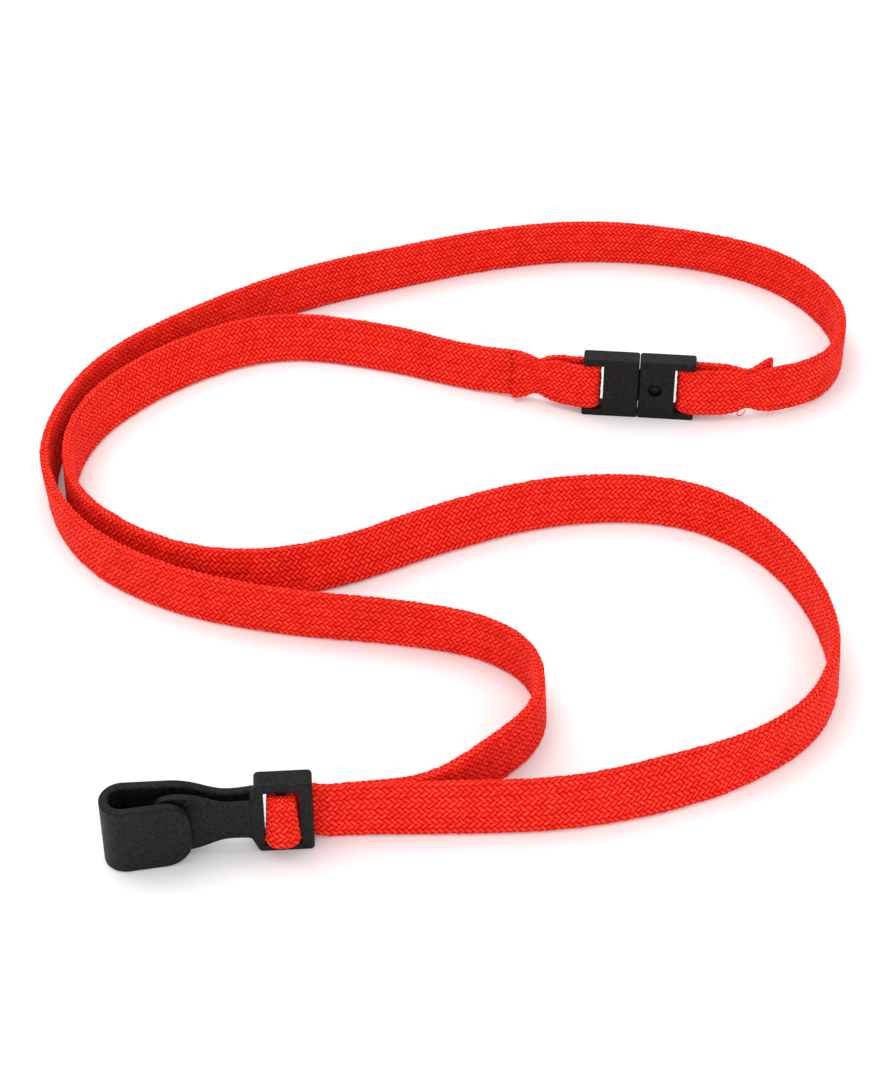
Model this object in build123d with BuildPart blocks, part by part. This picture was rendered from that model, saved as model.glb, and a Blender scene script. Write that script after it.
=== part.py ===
"""Breakaway neck lanyard: a flat braided strap, a plastic swing hook and a two-part breakaway buckle.

The strap stands on its edge on a table, in one long loop. The origin is the middle of the underside
of the hook's frame, +X runs from the hook's bend to its strap end, +Y away from its front, +Z up.
"""

import os
from math import cos, radians, sin, tan

from build123d import *

os.makedirs("parts", exist_ok=True)

# Strap (mm)
STRAP_WIDTH = 10.4
STRAP_THICK = 2.0
LOOP_THICK = 1.4  # where the strap is pulled tight round a bar
TURN_SHARE = 0.45  # of the shorter run, that each arc of a run takes up

# Hook
FRAME_LENGTH = 9.6
FRAME_DEPTH = 4.0
FRAME_HEIGHT = 15.0
FRAME_EDGE = 0.5  # rounding of its front and rear edges
SHOULDER = -5.6  # the frame's left side stands out to here, where the arm and the gate leave it
SHOULDER_FROM, SHOULDER_TO = 3.0, 11.2
RAIL = 1.5
TOP_RAIL = 1.6
WINDOW_CORNER = 0.25
LEFT_BAR = 1.4
RIGHT_BAR = 2.2
RIGHT_BAR_DEPTH = 2.6
HOOK_BAR = (-0.4, -0.6)  # the bar that the strap turns round, which is also the hook's swing axis
HOOK_BAR_RADIUS = 0.7
HOOK_WALL = 1.6
ARM_EDGE = 0.45  # rounding of the arm's and the plate's edges
BEND_CENTRE = (-26.2, -1.25)
SEAT_RADIUS = 2.3  # inside the bend
PLATE_SLOPE = 7.0  # degrees, how the front plate closes towards the gate
PLATE_TIP = -15.3
PLATE_HEIGHT = 13.4
GATE_ROOT = (-5.7, -1.2)
GATE_THICK = 1.2
GATE_EDGE = 0.3
GATE_TIP = -21.6
GATE_NECK = 3.8  # half the gate's height where it bends, and near its nose
GATE_WIDE = 6.0
KNUCKLE_GAP = 0.05

# Buckle
BUCKLE_AT = (75.0, 119.1)
BUCKLE_TURN = -9.5  # degrees about +Z
BUCKLE_HALF = 11.5
BUCKLE_DEPTH = 4.0
BUCKLE_HEIGHT = 13.6
BUCKLE_CORNER = 0.6
BODY_PLATE = 7.3  # from the split to the strap window
HALF_GAP = 0.04  # each half stands this far from the split
BUCKLE_BAR = 10.0  # from the split to the bar's axis
BUCKLE_BAR_RADIUS = 0.8
TONGUE = (5.6, 1.6, 6.8)  # length, thickness, width
CAVITY = (6.0, 2.0, 7.4)
NUB_AT = 3.35
NUB_RADIUS = 0.8
NUB_RISE = 0.6
HOLE_RADIUS = 1.45

CENTRE_Z = 7.0  # middle of the gate
BUCKLE_CENTRE_Z = BUCKLE_HEIGHT / 2
LOOP_Z = 1.65  # the lower edge of the strap inside a frame

# The strap's route, seen from above: plug, inner loop, hook, outer loop, socket.
PLUG_TURN = (54.5, 126)
INNER_ROUTE = [
    PLUG_TURN, (40, 130.5), (23.5, 139.5), (0.5, 145.5), (-21.5, 135), (-38.5, 115), (-40.5, 89.5),
    (-25.5, 71), (-7.5, 64), (11.5, 67), (30.5, 76.5), (54.5, 84.5), (80, 82), (95.5, 65.5),
    (100.5, 39), (94, 20.5), (81.5, 10), (66, 4.5), (48, 0.5), (30, 1), (10, 1.2),
]
OUTER_ROUTE = [
    (10, 3.4), (24.5, 3.6), (36, 12), (44, 21), (45, 34), (38, 44), (21.5, 49.5), (0, 53.5),
    (-21, 61.5), (-37.5, 76), (-46, 97), (-43, 118), (-33.5, 135.5), (-15.5, 150), (5.5, 163),
    (28, 170.5), (51.5, 177.5), (74.5, 179), (99.5, 172), (115.5, 160), (121.5, 141), (116, 124.5),
    (105, 116.5),
]
HOOK_LOOP = [(10, 1.2), (1.45, 1.8), (1.45, -2.1), (-1.9, -2.1), (-1.9, 1.2), (2.6, 3.6), (10, 3.4)]
HOOK_LOOP_RADII = [1.2, 1.2, 1.4, 1.4, 3.0]

buckle = Plane(origin=(*BUCKLE_AT, 0), x_dir=(cos(radians(BUCKLE_TURN)), sin(radians(BUCKLE_TURN)), 0))


def middle(a, b):
    return ((a[0] + b[0]) / 2, (a[1] + b[1]) / 2)


def from_buckle(u, v):
    """A point u along the buckle and v behind its middle plane, in the row's XY."""
    at = buckle.from_local_coords(Vector(u, v, 0))
    return (at.X, at.Y)


def turn_radii(points):
    """The largest even arcs for a route: TURN_SHARE of the shorter run at each corner."""
    radii = []
    for before, at, after in zip(points, points[1:], points[2:]):
        one, two = Vector(*at) - Vector(*before), Vector(*after) - Vector(*at)
        half_turn = radians(one.get_angle(two)) / 2
        radii.append(TURN_SHARE * min(one.length, two.length) / tan(half_turn))
    return radii


def ribbon(points, radii, thickness, z):
    """A strap on its edge: the route, given its thickness and raised by the strap's width."""
    with BuildPart() as strap:
        with BuildSketch(Plane.XY.offset(z)):
            with BuildLine() as route:
                FilletPolyline(*points, radius=radii)
            trace(line_width=thickness)
        extrude(amount=STRAP_WIDTH)
    length = route.wires()[0].length
    print(f"  route {length:.1f} mm, radii {[round(r, 1) for r in radii]}, volume "
          f"{strap.part.volume:.0f} of {length * thickness * STRAP_WIDTH:.0f} mm3")
    return strap.part


def finish(shape, name):
    shape.label = name
    export_step(shape, f"parts/{name}.step")
    print(name, f"{shape.volume:.1f} mm3")


# Hook: frame with its bars, back arm, bend and front plate, moulded in one.
right_bar_x = FRAME_LENGTH / 2 - RIGHT_BAR
left_bar_x = -FRAME_LENGTH / 2 + LEFT_BAR
arm_reach = SEAT_RADIUS + HOOK_WALL / 2
arm_y = BEND_CENTRE[1] + arm_reach
plate_start = (
    BEND_CENTRE[0] + arm_reach * sin(radians(PLATE_SLOPE)),
    BEND_CENTRE[1] - arm_reach * cos(radians(PLATE_SLOPE)),
)
plate_end = (PLATE_TIP, plate_start[1] + (PLATE_TIP - plate_start[0]) * tan(radians(PLATE_SLOPE)))

window_top = FRAME_HEIGHT - TOP_RAIL
with BuildPart() as hook_frame:
    with BuildSketch(Plane.XZ.offset(-FRAME_DEPTH / 2)):
        with BuildLine():
            right, left = FRAME_LENGTH / 2, -FRAME_LENGTH / 2
            FilletPolyline(
                (right, 0), (right, FRAME_HEIGHT), (left, FRAME_HEIGHT), (left, SHOULDER_TO + 0.8),
                (SHOULDER, SHOULDER_TO), (SHOULDER, SHOULDER_FROM), (left + 0.5, 0),
                radius=[0.8, 0.8, 0.8, 0.4, 0.4, 0.8, 0.8], close=True,
            )
        make_face()
    extrude(amount=FRAME_DEPTH)
    fillet(hook_frame.faces().sort_by(Axis.Y)[0].edges(), FRAME_EDGE)
    fillet(hook_frame.faces().sort_by(Axis.Y)[-1].edges(), FRAME_EDGE)
    with BuildSketch(Plane.XZ.offset(-FRAME_DEPTH)):
        with Locations(((left_bar_x + right_bar_x) / 2, (RAIL + window_top) / 2)):
            RectangleRounded(right_bar_x - left_bar_x, window_top - RAIL, WINDOW_CORNER)
    extrude(amount=2 * FRAME_DEPTH, mode=Mode.SUBTRACT)
    with BuildSketch(Plane.XY.offset(RAIL)):
        with Locations((right_bar_x, RIGHT_BAR_DEPTH - FRAME_DEPTH / 2)):
            Rectangle(RIGHT_BAR + 1, FRAME_DEPTH, align=(Align.MIN, Align.MIN))
    extrude(amount=window_top - RAIL, mode=Mode.SUBTRACT)
    with BuildSketch(Plane.XY.offset(RAIL - 0.5)):
        with Locations(HOOK_BAR):
            Circle(HOOK_BAR_RADIUS)
    extrude(amount=window_top - RAIL + 1)


def along_arm(edge):
    """Whether an edge runs along the arm, the bend or the plate, or closes the plate's free end."""
    upright = edge.bounding_box().size.Z > edge.length - 0.01
    if upright:
        return edge.center().X > PLATE_TIP - 0.2 and edge.center().Y < BEND_CENTRE[1]
    return edge.length > HOOK_WALL + 0.4 or edge.geom_type == GeomType.ELLIPSE


def in_throat(edge):
    """Whether an edge lies on the inner side of the wall's middle line."""
    at = edge @ 0.5
    if at.X < BEND_CENTRE[0]:
        return (Vector(at.X, at.Y) - Vector(*BEND_CENTRE)).length < arm_reach
    if at.Y > BEND_CENTRE[1] + 1:
        return at.Y < arm_y
    return at.Y > plate_start[1] + (at.X - plate_start[0]) * tan(radians(PLATE_SLOPE))


with BuildPart() as hook_arm:
    with BuildSketch():
        with BuildLine():
            Line((left_bar_x - 0.7, arm_y), (BEND_CENTRE[0], arm_y))
            CenterArc(BEND_CENTRE, arm_reach, 90, 180 + PLATE_SLOPE)
            Line(plate_start, plate_end)
        trace(line_width=HOOK_WALL)
    extrude(amount=PLATE_HEIGHT)
    # The back arm is waisted above and below, between the bend and the frame.
    with BuildSketch(Plane.XZ.offset(-BEND_CENTRE[1])):
        with BuildLine():
            top = Spline((-19, PLATE_HEIGHT), (-10.5, 11.1), (0, 11.8), tangents=((1, 0), (1, 0)))
            Polyline(top @ 1, (0, 20), (-19, 20), top @ 0)
        make_face()
        with BuildLine():
            low = Spline((-19, 0), (-10.5, 2.9), (0, 2.2), tangents=((1, 0), (1, 0)))
            Polyline(low @ 1, (0, -5), (-19, -5), low @ 0)
        make_face()
    extrude(amount=-8, mode=Mode.SUBTRACT)
    # The front plate's free end is round.
    with BuildSketch(Plane.XZ.offset(-BEND_CENTRE[1])):
        with Locations((PLATE_TIP - 6, PLATE_HEIGHT / 2)):
            Rectangle(8, 2 * PLATE_HEIGHT, align=(Align.MIN, Align.CENTER))
        with Locations((PLATE_TIP - 8, PLATE_HEIGHT / 2)):
            RectangleRounded(16, PLATE_HEIGHT, 4.6, mode=Mode.SUBTRACT)
    extrude(amount=8, mode=Mode.SUBTRACT)
    # Its edges are rounded, first outside the hook and then inside it, but for those across the wall.
    for inside in (False, True):
        long_edges = [edge for edge in hook_arm.edges() if along_arm(edge)]
        fillet([edge for edge in long_edges if in_throat(edge) == inside], ARM_EDGE)

with BuildPart() as hook_body:
    add(hook_frame.part)
    add(hook_arm.part)
    # A groove in the left bar holds the gate's round root.
    with BuildSketch(Plane.XY.offset(CENTRE_Z - GATE_NECK - 0.2)):
        with Locations(GATE_ROOT):
            Circle(GATE_THICK / 2 + KNUCKLE_GAP)
    extrude(amount=2 * (GATE_NECK + 0.2), mode=Mode.SUBTRACT)
finish(hook_body.part, "hook_body")

# Gate: a thin leaf from the frame to behind the front plate, narrow where it bends.
root_x, nose_x = GATE_ROOT[0], GATE_TIP + 4
with BuildPart() as hook_gate:
    with BuildSketch(Plane.XZ.offset(-GATE_ROOT[1] - GATE_THICK / 2)):
        with BuildLine():
            upper = Spline((root_x, CENTRE_Z + GATE_NECK), (root_x - 4, CENTRE_Z + GATE_NECK),
                           (nose_x, CENTRE_Z + GATE_WIDE), tangents=((-1, 0), (-1, 0)))
            nose = Spline(upper @ 1, (GATE_TIP, CENTRE_Z), (nose_x, CENTRE_Z - GATE_WIDE),
                          tangents=((-1, 0), (1, 0)))
            lower = Spline(nose @ 1, (root_x - 4, CENTRE_Z - GATE_NECK),
                           (root_x, CENTRE_Z - GATE_NECK), tangents=((1, 0), (1, 0)))
            Line(lower @ 1, upper @ 0)
        make_face()
    extrude(amount=GATE_THICK)
    fillet(hook_gate.faces().sort_by(Axis.Y)[0].edges(), GATE_EDGE)
    with BuildSketch(Plane.XY.offset(CENTRE_Z - GATE_NECK)):
        with Locations(GATE_ROOT):
            Circle(GATE_THICK / 2)
    extrude(amount=2 * GATE_NECK)
finish(hook_gate.part, "hook_gate")


# Buckle halves share their body plate, rails and bar; side is -1 for the plug and 1 for the socket.
def buckle_half(side):
    with BuildPart() as half:
        with BuildSketch(buckle):
            with Locations((side * (HALF_GAP + BUCKLE_HALF) / 2, 0)):
                RectangleRounded(BUCKLE_HALF - HALF_GAP, BUCKLE_DEPTH, BUCKLE_CORNER)
        extrude(amount=BUCKLE_HEIGHT)
        fillet(half.faces().sort_by(Axis.Z)[-1].edges(), 0.35)
        with BuildSketch(buckle.offset(RAIL)):
            with Locations((side * (BODY_PLATE + BUCKLE_HALF + 1) / 2, 0)):
                Rectangle(BUCKLE_HALF + 1 - BODY_PLATE, BUCKLE_DEPTH + 2)
        extrude(amount=BUCKLE_HEIGHT - 2 * RAIL, mode=Mode.SUBTRACT)
        with BuildSketch(buckle.offset(RAIL - 0.5)):
            with Locations((side * BUCKLE_BAR, 0)):
                Circle(BUCKLE_BAR_RADIUS)
        extrude(amount=BUCKLE_HEIGHT - 2 * RAIL + 1)
    return half.part


def buckle_face(v):
    """A plane across the buckle's front, v behind its middle, with x along the buckle and y up."""
    return Plane(origin=buckle.from_local_coords(Vector(0, v, 0)), x_dir=buckle.x_dir, z_dir=-buckle.y_dir)


with BuildPart() as buckle_plug:
    add(buckle_half(-1))
    length, thickness, width = TONGUE
    with BuildSketch(buckle_face(thickness / 2)):
        with Locations((-0.5, BUCKLE_CENTRE_Z)):
            RectangleRounded(length + 0.5, width, 0.4, align=(Align.MIN, Align.CENTER))
    extrude(amount=thickness)
    with BuildSketch(buckle_face(-thickness / 2 + 0.2)):
        with Locations((NUB_AT, BUCKLE_CENTRE_Z)):
            Circle(NUB_RADIUS)
    extrude(amount=NUB_RISE + 0.2)
finish(buckle_plug.part, "buckle_plug")

with BuildPart() as buckle_socket:
    add(buckle_half(1))
    length, thickness, width = CAVITY
    with BuildSketch(buckle_face(thickness / 2)):
        with Locations((-1, BUCKLE_CENTRE_Z)):
            Rectangle(length + 1, width, align=(Align.MIN, Align.CENTER))
    extrude(amount=thickness, mode=Mode.SUBTRACT)
    # The hole shows the nub; the channel lets it slide in and out behind the front wall.
    with BuildSketch(buckle_face(0)):
        with Locations((NUB_AT, BUCKLE_CENTRE_Z)):
            Circle(HOLE_RADIUS)
    extrude(amount=BUCKLE_DEPTH, mode=Mode.SUBTRACT)
    with BuildSketch(buckle_face(0)):
        with Locations((-1, BUCKLE_CENTRE_Z)):
            Rectangle(NUB_AT + 1, 2 * HOLE_RADIUS, align=(Align.MIN, Align.CENTER))
    extrude(amount=TONGUE[1] / 2 + NUB_RISE + 0.1, mode=Mode.SUBTRACT)
finish(buckle_socket.part, "buckle_socket")

# Strap, in the stretches that move apart: each end is folded round its bar and sewn back on itself.
print("strap")
wrap = BUCKLE_BAR_RADIUS + 0.1 + LOOP_THICK / 2
inside = BUCKLE_BAR - wrap
plug_end = middle(*INNER_ROUTE[0:2])
socket_turn, socket_next = OUTER_ROUTE[-1], OUTER_ROUTE[-2]
socket_end = middle(socket_turn, socket_next)
PLUG_LOOP = [
    plug_end, PLUG_TURN, from_buckle(-13.2, wrap), from_buckle(-inside, wrap),
    from_buckle(-inside, -wrap), from_buckle(-12, -wrap), from_buckle(-20.8, 1.6),
    from_buckle(-26, 2.4),
]
PLUG_LOOP_RADII = [20, 6, wrap - 0.01, wrap - 0.01, 3, 5]
SOCKET_LOOP = [
    socket_end, socket_turn, from_buckle(12.7, -wrap), from_buckle(inside, -wrap),
    from_buckle(inside, wrap), from_buckle(14, wrap), from_buckle(21.5, 2.2), from_buckle(27.5, 4.7),
]
SOCKET_LOOP_RADII = [20, 6, wrap - 0.01, wrap - 0.01, 5, 5]
SLACK_ENDS = (plug_end, middle(*INNER_ROUTE[2:4]))

inner_radii = turn_radii(INNER_ROUTE)
slack = [SLACK_ENDS[0], *INNER_ROUTE[1:3], SLACK_ENDS[1]]
inner_run = [SLACK_ENDS[1], *INNER_ROUTE[3:]]
outer_run = [*OUTER_ROUTE[:-1], socket_end]
finish(ribbon(PLUG_LOOP, PLUG_LOOP_RADII, LOOP_THICK, LOOP_Z), "strap_plug_loop")
finish(ribbon(slack, inner_radii[:2], STRAP_THICK, 0), "strap_slack")
finish(ribbon(inner_run, inner_radii[2:], STRAP_THICK, 0), "strap_inner_run")
finish(ribbon(HOOK_LOOP, HOOK_LOOP_RADII, LOOP_THICK, LOOP_Z), "strap_hook_loop")
finish(ribbon(outer_run, turn_radii(OUTER_ROUTE), STRAP_THICK, 0), "strap_outer_run")
finish(ribbon(SOCKET_LOOP, SOCKET_LOOP_RADII, LOOP_THICK, LOOP_Z), "strap_socket_loop")


# Seams: a row of thread through both layers of the strap, with the thread's run on each side.
def seam(u, front, back):
    with BuildPart() as threads:
        for v in (front, back):
            with BuildSketch(buckle.offset(LOOP_Z + 1)):
                with Locations((u, v)):
                    Circle(0.3)
            extrude(amount=STRAP_WIDTH - 2)
        with BuildSketch(buckle_face(back)):
            with Locations(*[(u, LOOP_Z + 1.5 + 1.75 * i) for i in range(5)]):
                Circle(0.25)
        extrude(amount=back - front)
    return threads.part


finish(seam(-21.0, 0.8, 4.1), "plug_seam")
finish(seam(22.3, -0.25, 3.4), "socket_seam")
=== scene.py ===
"""Breakaway neck lanyard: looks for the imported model. Lengths are in metres, +Z is up.

The strap is one braided mesh. It is built straight, every stitch in relief, and then laid along its
route: folded round the plug's bar, round the inner loop, through the hook, round the outer loop and
round the socket's bar. Each point of the route also says how the strap leans there.
"""
from math import cos, pi, radians, sin

import bpy
import numpy as np
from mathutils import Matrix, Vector


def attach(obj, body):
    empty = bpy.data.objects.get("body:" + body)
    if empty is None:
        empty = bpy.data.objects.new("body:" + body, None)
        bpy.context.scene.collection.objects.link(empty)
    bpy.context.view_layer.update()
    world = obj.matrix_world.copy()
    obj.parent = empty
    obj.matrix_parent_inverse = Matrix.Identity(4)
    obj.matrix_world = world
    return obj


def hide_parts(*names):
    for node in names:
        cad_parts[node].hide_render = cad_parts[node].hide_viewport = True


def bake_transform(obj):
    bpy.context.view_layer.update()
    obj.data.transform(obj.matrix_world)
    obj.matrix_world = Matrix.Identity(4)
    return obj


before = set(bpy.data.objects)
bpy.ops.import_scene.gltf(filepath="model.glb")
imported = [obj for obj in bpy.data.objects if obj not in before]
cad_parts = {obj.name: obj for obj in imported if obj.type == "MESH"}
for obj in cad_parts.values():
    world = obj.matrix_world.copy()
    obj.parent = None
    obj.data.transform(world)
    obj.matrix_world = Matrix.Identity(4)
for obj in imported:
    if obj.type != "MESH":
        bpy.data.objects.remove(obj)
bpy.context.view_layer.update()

MM = 0.001

# Camera: the point it looks at, where it stands, and its focal length in millimetres
TARGET = (0.0320, 0.0792, 0.0)
CAMERA_AT = (0.00665, -0.2834, 0.2891)
LENS = 79.9

# Buckle: its middle and its turn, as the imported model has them
BUCKLE_AT = (0.0750, 0.1191)
BUCKLE_TURN = radians(-9.5)

# Strap
SEED = 11
STRAP_WIDTH = 10.4 * MM
STRAP_THICK = 2.0 * MM
LOOP_THICK = 1.4 * MM
RIM = 0.7 * MM  # how round the strap's two edges are
STITCH = 1.14 * MM  # one stitch of the braid to the next, along the strap
COLUMNS = 22  # columns of those stitches round the strap
GRID = 3  # mesh faces across a yarn
OUTLINE_STEPS = 720  # points that the strap's outline is measured with
ROUTE_STEPS = 32  # points of the route's curve from one control point to the next
RELIEF = 0.26 * MM  # from the bottom of a gap to the top of a stitch
YARN_EDGE = 0.4  # height of a yarn's edges beside its crown
STITCH_END = 0.55  # height of a stitch's two ends beside its middle
STITCH_ROUNDING = 0.7  # how full it is between them, less being fuller
IN_FRAME = 6.85 * MM  # height of the strap's middle where a frame holds it
SEAMS = (-21.0 * MM, 22.3 * MM)  # where the seams are, along the buckle
SEAM_ZONE = 8 * MM  # how far from a seam's middle it is felt
SEAM_PINCH, PINCH_REACH = 0.24, 2.6 * MM  # how much narrower a seam draws the strap
SEAM_CREASE, CREASE_REACH = 0.45, 0.8 * MM  # and how much thinner
WIDTH_CHANGE = 0.012  # how much the width changes along the strap
WIDTH_WAVES = (0.031, 0.047, 0.083)  # lengths of the waves that it changes in
UNEVEN_YARNS = (97, 89)  # yarns each way before their slight differences repeat
UNEVEN_HEIGHT = (0.8, 1.05)  # lowest and highest stitch beside an even one
EVENING = 4  # smoothing passes over the braid's random unevenness
SLIDE, LUMP = 0.07 * MM, 0.035 * MM  # size of that unevenness, along the surface and out of it

# Sewing thread
THREAD_RADIUS, STRAY_RADIUS = 0.1 * MM, 0.08 * MM
THREAD_STEPS, THREAD_ROUNDNESS = 6, 3  # how finely its curve and its round outline are divided
SEAM_STITCHES = 5  # stitches up a seam
SEAM_SLANT = 0.12  # how far a stitch climbs as it goes through the strap, in stitches

# Room
FLOOR_REACH = 3  # from the middle of the floor to its edges
LIT_POINT = (0.03, 0.08, 0)


def from_buckle(u, v):
    """A point u along the buckle and v behind its middle plane."""
    x = BUCKLE_AT[0] + u * cos(BUCKLE_TURN) - v * sin(BUCKLE_TURN)
    y = BUCKLE_AT[1] + u * sin(BUCKLE_TURN) + v * cos(BUCKLE_TURN)
    return (x, y)


def table_height(lean):
    """The height of the strap's middle where it stands on the table, leaning this many degrees."""
    turn = radians(abs(lean))
    return (STRAP_WIDTH / 2 - RIM) * cos(turn) + (STRAP_THICK / 2 - RIM) * sin(turn) + RIM


def standing(x, y, lean=0):
    """A route point on the table. The lean is in degrees, to the left of the strap's travel."""
    return (x, y, table_height(lean), lean, STRAP_THICK, STRAP_WIDTH)


def held(x, y, z=IN_FRAME, lean=0, thick=LOOP_THICK, width=STRAP_WIDTH):
    """A route point where a frame holds the strap tight."""
    return (x, y, z, lean, thick, width)


# The strap's route, in the model's own points: the plug's tail and loop, the inner loop, the
# hook, the outer loop, and the socket's loop and tail
PLUG_LOOP = [
    held(*from_buckle(-0.0262, 0.0022), 0.0063, 8, width=0.0112),
    held(*from_buckle(-0.0235, 0.0024), 0.0060, 4, width=0.0108),
    held(*from_buckle(-0.0200, 0.0016), 0.0060),
    held(*from_buckle(-0.0120, -0.0016), 0.0067), held(*from_buckle(-0.0084, -0.0016)),
    held(*from_buckle(-0.0084, 0.0016)), held(*from_buckle(-0.0132, 0.0016), 0.0066),
    held(0.0544, 0.1256, 0.0059, -4, 0.0017),
]
INNER_ROUTE = [
    standing(0.0400, 0.1305, -5), standing(0.0235, 0.1396, -12), standing(0.0003, 0.1462, -14),
    standing(-0.0220, 0.1356, -15), standing(-0.0398, 0.1157, -11), standing(-0.0415, 0.0892, 5),
    standing(-0.0255, 0.0710, 9), standing(-0.0075, 0.0640, 10), standing(0.0115, 0.0670, 10),
    standing(0.0305, 0.0765, 14), standing(0.0545, 0.0845, 11), standing(0.0800, 0.0820, 6),
    standing(0.0955, 0.0655, -1), standing(0.1010, 0.0386, -3), standing(0.0946, 0.0202, -5),
    standing(0.0815, 0.0100, -6), standing(0.0660, 0.0045, -17), standing(0.0480, 0.0005, -9),
    standing(0.0300, 0.0010, -10), held(0.0120, 0.0018, 0.0053, -6, 0.0018),
    held(0.0062, 0.0013, 0.0053, -4, 0.0014),
]
HOOK_LOOP = [
    held(0.00150, 0.0020, 0.0067), held(0.00155, -0.0030, 0.0077, -7, 0.0020),
    held(-0.0023, -0.0029, 0.0077, -7, 0.0020), held(-0.0023, 0.0012, 0.0069),
    held(0.0024, 0.0031, 0.0060), held(0.0062, 0.0028, 0.0053, -6, 0.0014),
]
OUTER_ROUTE = [
    held(0.0120, 0.0035, 0.0052, -10, 0.0018),
    standing(0.0245, 0.0038, -6), standing(0.0360, 0.0120, 4), standing(0.0449, 0.0208, 3),
    standing(0.0459, 0.0344, 3), standing(0.0380, 0.0440, 2), standing(0.0215, 0.0495, 2),
    standing(0.0000, 0.0535, 0), standing(-0.0210, 0.0615, -2), standing(-0.0377, 0.0758, -1),
    standing(-0.0459, 0.0970, 6), standing(-0.0430, 0.1180, 2), standing(-0.0335, 0.1355, 3),
    standing(-0.0155, 0.1500, 3), standing(0.0055, 0.1630, 5), standing(0.0280, 0.1705, 0),
    standing(0.0515, 0.1775, 0), standing(0.0745, 0.1790, -2), standing(0.0995, 0.1720, -9),
    standing(0.1155, 0.1600, 0), standing(0.1223, 0.1410, 0), standing(0.1170, 0.1240, 0),
    held(0.1050, 0.1163, 0.0061, -4, 0.0017),
]
SOCKET_LOOP = [
    held(*from_buckle(0.0127, -0.0016), 0.0065, -5), held(*from_buckle(0.0084, -0.0016)),
    held(*from_buckle(0.0084, 0.0016)), held(*from_buckle(0.0140, 0.0016)),
    held(*from_buckle(0.0225, 0.0010), 0.0070), held(*from_buckle(0.0272, 0.0044), 0.0071, 6),
]
ROUTE = [*PLUG_LOOP, *INNER_ROUTE, *HOOK_LOOP, *OUTER_ROUTE, *SOCKET_LOOP]


# Camera -----------------------------------------------------------------------------------------

def add_camera():
    """The camera at the photograph's viewing angle."""
    camera = bpy.data.objects.new("camera", bpy.data.cameras.new("camera"))
    bpy.context.collection.objects.link(camera)
    camera.data.lens = LENS
    camera.data.clip_start = 0.01
    camera.location = CAMERA_AT
    camera.rotation_euler = (Vector(TARGET) - Vector(CAMERA_AT)).to_track_quat("-Z", "Y").to_euler()
    bpy.context.scene.camera = camera


# Mesh helpers -----------------------------------------------------------------------------------

def new_mesh(name, points, faces):
    """A smooth-shaded mesh object from points and a list of faces."""
    mesh = bpy.data.meshes.new(name)
    mesh.from_pydata(points, [], faces)
    mesh.shade_smooth()
    piece = bpy.data.objects.new(name, mesh)
    bpy.context.collection.objects.link(piece)
    return piece


def new_curve(name, routes, steps):
    """A curve with one NURBS spline for each list of control points."""
    curve = bpy.data.curves.new(name, "CURVE")
    curve.dimensions = "3D"
    curve.resolution_u = steps
    for route in routes:
        spline = curve.splines.new("NURBS")
        spline.points.add(len(route) - 1)
        for point, at in zip(spline.points, route):
            point.co = (*at, 1)
        spline.order_u = 3
        spline.use_endpoint_u = True
    return curve


def spline_points(name, rows):
    """The points of a NURBS curve with these control points, close together."""
    curve = new_curve(name, [rows], ROUTE_STEPS)
    line = bpy.data.meshes.new_from_object(bpy.data.objects.new(name, curve))
    return np.array([v.co for v in line.vertices])


def lengths_along(points):
    steps = np.linalg.norm(np.diff(points, axis=0), axis=1)
    return np.concatenate([[0], np.cumsum(steps)])


def directions(points):
    """Level unit vectors ahead along a line and to its left."""
    ahead = np.gradient(points, axis=0)
    ahead[:, 2] = 0
    ahead /= np.linalg.norm(ahead, axis=1)[:, None]
    return ahead, np.stack([-ahead[:, 1], ahead[:, 0], np.zeros(len(points))], -1)


def outer_lengths(line, thick):
    """Lengths along the strap's outer side, which keeps its stitches full size round a fold."""
    _, side = directions(line)
    sides = [line + sign * side * thick[:, None] / 2 for sign in (-1, 1)]
    steps = [np.linalg.norm(np.diff(points, axis=0), axis=1) for points in sides]
    return np.concatenate([[0], np.cumsum(np.maximum(*steps))])


def resample(spots, at, columns):
    """The columns, given at some lengths, worked out at other lengths."""
    return np.stack([np.interp(spots, at, column) for column in columns.T], -1)


def put_vectors(mesh, name, values):
    """A named vector for each point of the mesh, for its material."""
    attribute = mesh.attributes.new(name, "FLOAT_VECTOR", "POINT")
    attribute.data.foreach_set("vector", values.ravel().astype(np.float32))


# Strap ------------------------------------------------------------------------------------------

def section(count):
    """The strap's outline from its lower edge, evenly spaced: height, depth, outward direction."""
    turn = pi - (np.arange(OUTLINE_STEPS + 1) + 0.5) / OUTLINE_STEPS * 2 * pi
    outward = np.stack([np.cos(turn), np.sin(turn)], -1)
    middle = np.sign(outward) * (STRAP_WIDTH / 2 - RIM, STRAP_THICK / 2 - RIM)
    edge = middle + RIM * outward
    at = lengths_along(edge)
    spots = np.arange(count) / count * at[-1]
    return resample(spots, at, np.hstack([edge, outward]))


def diamond_faces(rings, around):
    """Four-sided faces whose edges run along the yarns, with triangles and a cap at both ends.

    Odd rings stand half a step further round than even ones. There is an odd number of rings.
    """
    j = np.arange(around)
    after = (j + 1) % around
    before = (j - 1) % around
    faces = []
    for i in range(rings - 2):
        one, two = (j, before) if i % 2 == 0 else (after, j)
        here, middle, there = (np.arange(i, i + 3) * around).tolist()
        faces += np.stack([here + j, middle + one, there + j, middle + two], -1).tolist()
    last = (rings - 1) * around
    faces += np.stack([j, after, around + j], -1).tolist()
    faces += np.stack([last + after, last + j, last - around + j], -1).tolist()
    faces.append(j[::-1].tolist())
    faces.append((last + j).tolist())
    return faces


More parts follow.
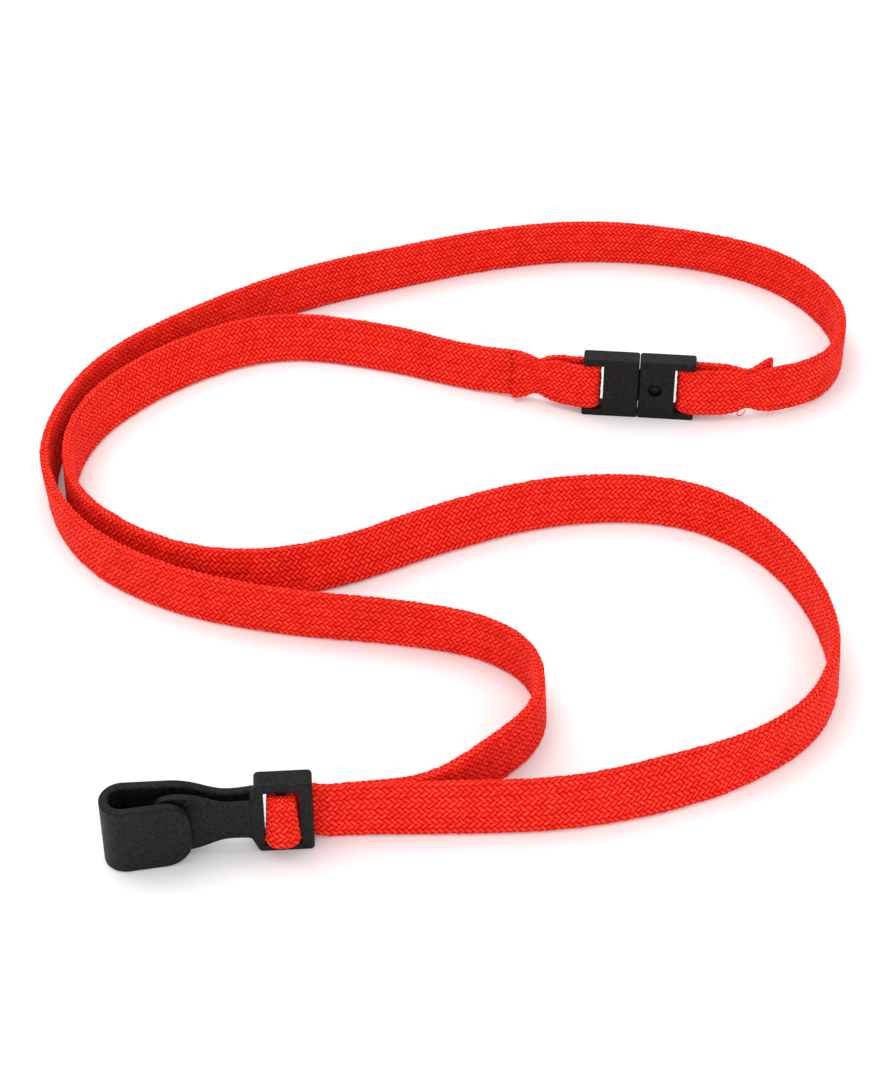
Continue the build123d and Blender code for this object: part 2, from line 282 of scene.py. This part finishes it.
def yarn_heights(rings, around, rng):
    """A two-over, two-under braid: each point's place in both sets of yarns, and its height."""
    i = np.arange(rings)[:, None]
    j = np.arange(around)[None, :]
    odd = i % 2
    one = (i + 2 * j + odd) // 2
    two = (i - 2 * j - odd) // 2
    yarn_one, across_one = np.divmod(one, GRID)
    yarn_two, across_two = np.divmod(two, GRID)
    one_on_top = (yarn_two - yarn_one + 1) % 4 < 2
    travel_one = (two / GRID - yarn_one + 1) % 4 / 2
    travel_two = (one / GRID - yarn_two - 2) % 4 / 2
    across = np.where(one_on_top, across_one, across_two) / GRID
    travel = np.where(one_on_top, travel_one, travel_two)
    height = YARN_EDGE + (1 - YARN_EDGE) * np.sin(pi * across)
    height *= STITCH_END + (1 - STITCH_END) * np.sin(pi * travel) ** STITCH_ROUNDING
    height = np.where((across_one == 0) & (across_two == 0), 0, height)
    uneven = rng.uniform(*UNEVEN_HEIGHT, UNEVEN_YARNS)
    height *= uneven[yarn_one % UNEVEN_YARNS[0], yarn_two // 2 % UNEVEN_YARNS[1]]
    return one / GRID, two / GRID, height


def waves(along, rng, size, lengths):
    """A slight seeded unevenness along the strap."""
    total = np.zeros_like(along)
    for length in lengths:
        total += np.sin(along / length * 2 * pi + rng.uniform(0, 2 * pi))
    return size * total / len(lengths)


def seam_pull(centre, pull, reach):
    """How much of its size the strap keeps near the two seams, 1 elsewhere."""
    kept = np.ones(len(centre))
    for u in SEAMS:
        along = (centre[:, 0] - from_buckle(u, 0)[0]) * cos(BUCKLE_TURN)
        along += (centre[:, 1] - from_buckle(u, 0)[1]) * sin(BUCKLE_TURN)
        away = np.linalg.norm(centre[:, :2] - from_buckle(u, 0), axis=1)
        kept -= np.where(away < SEAM_ZONE, pull * np.exp(-(along / reach) ** 2), 0)
    return kept


def unevenness(rings, around, rng):
    """Three seeded fields, smooth from one mesh point to the next, of unit size."""
    fields = rng.normal(size=(3, rings, around))
    for _ in range(EVENING):
        fields = fields + np.roll(fields, 1, 1) + np.roll(fields, -1, 1)
        fields = fields + np.roll(fields, 1, 2) + np.roll(fields, -1, 2)
        fields /= fields.std()
    return fields


def follow_route(rng):
    """The strap's curve, and for each ring of mesh points its distance, centre, lean and size."""
    line = spline_points("strap_route", [row[:3] for row in ROUTE])
    shape = spline_points("strap_shape", [(radians(row[3]), *row[4:]) for row in ROUTE])
    at = outer_lengths(line, shape[:, 1])
    step = STITCH / (2 * GRID)
    rings = int(at[-1] / step) // 2 * 2 + 1
    along = np.linspace(0, at[-1], rings)
    centre = resample(along, at, line)
    lean, thick, wide = resample(along, at, shape).T
    wide *= seam_pull(centre, SEAM_PINCH, PINCH_REACH)
    wide *= 1 + waves(along, rng, WIDTH_CHANGE, WIDTH_WAVES)
    thick *= seam_pull(centre, SEAM_CREASE, CREASE_REACH)
    return line, along, centre, lean, thick, wide


def braid_round(thick, wide, rng):
    """Each mesh point's height and depth in the strap, its slide along it, and its weave."""
    rings, around = len(thick), COLUMNS * GRID
    outline = section(2 * around)
    on_rings = np.stack([outline[::2], outline[1::2]])[np.arange(rings) % 2]
    level, depth, out_up, out_deep = np.moveaxis(on_rings, -1, 0)
    one, two, height = yarn_heights(rings, around, rng)
    slide_on, slide_round, lump = unevenness(rings, around, rng)
    out = (height - 1) * RELIEF + lump * LUMP
    sideways = slide_round * SLIDE
    up = level * (wide / STRAP_WIDTH)[:, None] + out_up * out + out_deep * sideways
    deep = depth * (thick / STRAP_THICK)[:, None] + out_deep * out - out_up * sideways
    return up, deep, slide_on * SLIDE, np.stack([one, two, height], -1)


def lay(centre, lean, up, deep, on):
    """The mesh's points where the strap follows its route."""
    ahead, side = directions(centre)
    c, s = np.cos(lean)[:, None], np.sin(lean)[:, None]
    points = centre[:, None, :] + side[:, None, :] * (deep * c + up * s)[..., None]
    points += ahead[:, None, :] * on[..., None]
    points[..., 2] += up * c - deep * s
    return points


def build_strap():
    """The whole strap, and the curve that it follows."""
    rng = np.random.default_rng(SEED)
    line, along, centre, lean, thick, wide = follow_route(rng)
    up, deep, on, weave = braid_round(thick, wide, rng)
    rings, around = up.shape
    straight = np.stack([np.repeat(along, around), deep.ravel(), up.ravel()], -1)
    strap = new_mesh("strap", straight.tolist(), diamond_faces(rings, around))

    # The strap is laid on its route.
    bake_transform(strap)
    laid = lay(centre, lean, up, deep, on)
    strap.data.vertices.foreach_set("co", laid.ravel().astype(np.float32))
    strap.data.update()
    put_vectors(strap.data, "weave", weave)
    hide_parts("strap_plug_loop", "strap_slack", "strap_inner_run", "strap_hook_loop",
                "strap_outer_run", "strap_socket_loop")
    return strap, line


# Threads ----------------------------------------------------------------------------------------

def build_thread(name, routes, radius=THREAD_RADIUS):
    """Sewing thread: round NURBS curves through given points."""
    curve = new_curve(name, routes, THREAD_STEPS)
    curve.bevel_depth = radius
    curve.bevel_resolution = THREAD_ROUNDNESS
    curve.use_fill_caps = True
    mesh = bpy.data.meshes.new_from_object(bpy.data.objects.new(name + "_line", curve))
    mesh.shade_smooth()
    piece = bpy.data.objects.new(name, mesh)
    bpy.context.collection.objects.link(piece)
    return piece


def stitches(u, front, back, low, high):
    """A running stitch up the strap, through both of its layers at u along the buckle."""
    route = []
    pitch = (high - low) / SEAM_STITCHES
    climb = SEAM_SLANT * pitch
    for i in range(SEAM_STITCHES + 1):
        z = low + i * pitch
        v, other = (front, back) if i % 2 == 0 else (back, front)
        route += [(*from_buckle(u, other), z - climb), (*from_buckle(u, v), z + climb)]
    return route


def build_threads():
    """The sewing at both ends, with a small loop under the socket's seam, and a stray end there."""
    plug_thread = build_thread("plug_thread", [
        stitches(SEAMS[0], front=0.0013, back=0.0035, low=0.0032, high=0.0096),
    ])
    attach(plug_thread, "plug")
    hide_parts("plug_seam")
    socket_thread = build_thread("socket_thread", [
        stitches(SEAMS[1], front=0.0000, back=0.0021, low=0.0032, high=0.0104),
        [(*from_buckle(0.0217, 0.0006), 0.0026), (*from_buckle(0.0207, -0.0006), 0.0020),
         (*from_buckle(0.0204, -0.0010), 0.0012), (*from_buckle(0.0216, -0.0010), 0.0011),
         (*from_buckle(0.0223, -0.0004), 0.0024)],
    ])
    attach(socket_thread, "strap")
    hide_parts("socket_seam")
    stray_end = build_thread("stray_end", [
        [(*from_buckle(0.0222, 0.0000), 0.0092), (*from_buckle(0.0231, -0.0006), 0.0086),
         (*from_buckle(0.0248, -0.0003), 0.0072), (*from_buckle(0.0268, 0.0001), 0.0060)],
    ], STRAY_RADIUS)
    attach(stray_end, "strap")
    return plug_thread, socket_thread, stray_end


# Materials --------------------------------------------------------------------------------------

def new_material(name, colour, roughness, specular):
    """A material with its node tree and its shader."""
    material = bpy.data.materials.new(name)
    material.use_nodes = True
    shader = material.node_tree.nodes["Principled BSDF"]
    shader.inputs["Base Color"].default_value = (*colour, 1)
    shader.inputs["Roughness"].default_value = roughness
    shader.inputs["Specular IOR Level"].default_value = specular
    return material, material.node_tree, shader


def add_node(tree, kind, **values):
    """A new node, with values for its named inputs."""
    node = tree.nodes.new(kind)
    for name, value in values.items():
        node.inputs[name].default_value = value
    return node


def colour_ramp(tree, source, stops):
    """The source's value turned into a colour, by (value, colour) stops."""
    ramp = tree.nodes.new("ShaderNodeValToRGB")
    elements = ramp.color_ramp.elements
    elements[0].position, elements[-1].position = stops[0][0], stops[-1][0]
    elements[0].color, elements[-1].color = (*stops[0][1], 1), (*stops[-1][1], 1)
    for position, colour in stops[1:-1]:
        elements.new(position).color = (*colour, 1)
    tree.links.new(source, ramp.inputs[0])
    return ramp.outputs[0]


def braid_material():
    """Red polyester with fine fibres: painted shade in the gaps between stitches and a painted
    highlight on top of each.
    """
    material, tree, shader = new_material(
        "braid_red", (0.75, 0.02, 0.012), roughness=0.75, specular=0.08)
    shader.inputs["Sheen Weight"].default_value = 0.05
    shader.inputs["Sheen Roughness"].default_value = 0.4
    shader.inputs["Sheen Tint"].default_value = (1.0, 0.35, 0.3, 1)
    weave = tree.nodes.new("ShaderNodeAttribute")
    weave.attribute_name = "weave"
    split = tree.nodes.new("ShaderNodeSeparateXYZ")
    tree.links.new(weave.outputs["Vector"], split.inputs[0])
    fibres = add_node(tree, "ShaderNodeTexNoise", Scale=5.0, Detail=3.0, Roughness=0.6)
    tree.links.new(weave.outputs["Vector"], fibres.inputs["Vector"])
    uneven = add_node(tree, "ShaderNodeTexNoise", Scale=160.0, Detail=2.0)
    place = tree.nodes.new("ShaderNodeTexCoord")
    tree.links.new(place.outputs["Object"], uneven.inputs["Vector"])

    # Painted shade and highlight: the colour follows each point's height in the braid, darkest in
    # the gaps and lightest and pinker on the stitches' tops.
    colour = colour_ramp(tree, split.outputs["Z"], [
        (0.0, (0.13, 0.0005, 0.0002)), (0.35, (0.55, 0.004, 0.0015)), (0.7, (0.88, 0.024, 0.011)),
        (1.0, (1.0, 0.075, 0.045)),
    ])
    shift = tree.nodes.new("ShaderNodeMapRange")
    shift.inputs["To Min"].default_value = 0.85
    shift.inputs["To Max"].default_value = 1.12
    tree.links.new(uneven.outputs["Fac"], shift.inputs["Value"])
    tone = tree.nodes.new("ShaderNodeHueSaturation")
    tree.links.new(colour, tone.inputs["Color"])
    tree.links.new(shift.outputs[0], tone.inputs["Value"])
    tree.links.new(tone.outputs[0], shader.inputs["Base Color"])

    bump = add_node(tree, "ShaderNodeBump", Strength=0.35, Distance=0.05 * MM)
    tree.links.new(fibres.outputs["Fac"], bump.inputs["Height"])
    tree.links.new(bump.outputs[0], shader.inputs["Normal"])
    return material


def thread_material():
    """Red polyester thread, with its twist, and painted shade in the twist's grooves."""
    material, tree, shader = new_material(
        "thread_red", (0.8, 0.03, 0.02), roughness=0.6, specular=0.3)
    place = tree.nodes.new("ShaderNodeTexCoord")
    twist = add_node(tree, "ShaderNodeTexWave", Scale=900.0, Distortion=1.5)
    twist.bands_direction = "DIAGONAL"
    tree.links.new(place.outputs["Object"], twist.inputs["Vector"])
    # Painted shade: the colour follows the twist's height, darker in its grooves.
    colour = colour_ramp(tree, twist.outputs["Fac"], [
        (0.0, (0.35, 0.004, 0.003)), (1.0, (0.75, 0.03, 0.02)),
    ])
    tree.links.new(colour, shader.inputs["Base Color"])
    bump = add_node(tree, "ShaderNodeBump", Strength=0.5, Distance=0.05 * MM)
    tree.links.new(twist.outputs["Fac"], bump.inputs["Height"])
    tree.links.new(bump.outputs[0], shader.inputs["Normal"])
    return material


def plastic_material(name, grain_scale):
    """Black moulded plastic with a fine spark-eroded grain."""
    material, tree, shader = new_material(name, (0.006, 0.006, 0.006), roughness=0.5, specular=0.16)
    place = tree.nodes.new("ShaderNodeTexCoord")
    grain = add_node(tree, "ShaderNodeTexNoise", Scale=grain_scale, Detail=2.0, Roughness=0.7)
    flow = add_node(tree, "ShaderNodeTexNoise", Scale=220.0, Detail=2.0)
    for noise in (grain, flow):
        tree.links.new(place.outputs["Object"], noise.inputs["Vector"])
    colour = colour_ramp(tree, grain.outputs["Fac"], [
        (0.4, (0.0003, 0.0003, 0.0003)), (0.65, (0.011, 0.011, 0.011)),
    ])
    tree.links.new(colour, shader.inputs["Base Color"])
    rough = tree.nodes.new("ShaderNodeMapRange")
    rough.inputs["To Min"].default_value = 0.42
    rough.inputs["To Max"].default_value = 0.62
    tree.links.new(flow.outputs["Fac"], rough.inputs["Value"])
    tree.links.new(rough.outputs[0], shader.inputs["Roughness"])
    bump = add_node(tree, "ShaderNodeBump", Strength=1.0, Distance=0.2 * MM)
    tree.links.new(grain.outputs["Fac"], bump.inputs["Height"])
    tree.links.new(bump.outputs[0], shader.inputs["Normal"])
    return material


def dress(piece, material):
    piece.data.materials.clear()
    piece.data.materials.append(material)


def dress_plastics():
    """The hook's and the buckle's own nodes, in black plastic."""
    hook_black = plastic_material("hook_black", grain_scale=2100.0)
    buckle_black = plastic_material("buckle_black", grain_scale=2400.0)
    for node, material in {
        "hook_body": hook_black, "hook_gate": hook_black,
        "buckle_plug": buckle_black, "buckle_socket": buckle_black,
    }.items():
        for slot in bpy.data.objects[node].material_slots:
            slot.material = material


# Room -------------------------------------------------------------------------------------------

def add_area(name, at, target, size, power):
    """A square soft light that faces its target."""
    light = bpy.data.lights.new(name, "AREA")
    light.size = size
    light.energy = power
    lamp = bpy.data.objects.new(name, light)
    lamp.location = at
    lamp.rotation_euler = (Vector(target) - Vector(at)).to_track_quat("-Z", "Y").to_euler()
    bpy.context.collection.objects.link(lamp)


def build_room():
    """A white floor, a white sky and two soft lights."""
    far = FLOOR_REACH
    corners = [(-far, -far, 0), (far, -far, 0), (far, far, 0), (-far, far, 0)]
    floor = new_mesh("floor", corners, [(0, 1, 2, 3)])
    material, _, _ = new_material("floor_white", (0.9, 0.9, 0.9), roughness=0.7, specular=0.2)
    dress(floor, material)
    world = bpy.data.worlds.new("studio")
    world.use_nodes = True
    world.node_tree.nodes["Background"].inputs["Color"].default_value = (1, 1, 1, 1)
    world.node_tree.nodes["Background"].inputs["Strength"].default_value = 1.0
    bpy.context.scene.world = world
    add_area("key", at=(-0.25, 0.35, 0.9), target=LIT_POINT, size=0.7, power=4)
    add_area("front", at=(0.1, -0.9, 0.5), target=LIT_POINT, size=0.7, power=3)
    bpy.context.scene.view_settings.view_transform = "Standard"


add_camera()
strap, line = build_strap()
dress(strap, braid_material())
plug_thread, socket_thread, stray_end = build_threads()
red_thread = thread_material()
for piece in (plug_thread, socket_thread, stray_end):
    dress(piece, red_thread)
dress_plastics()

build_room()
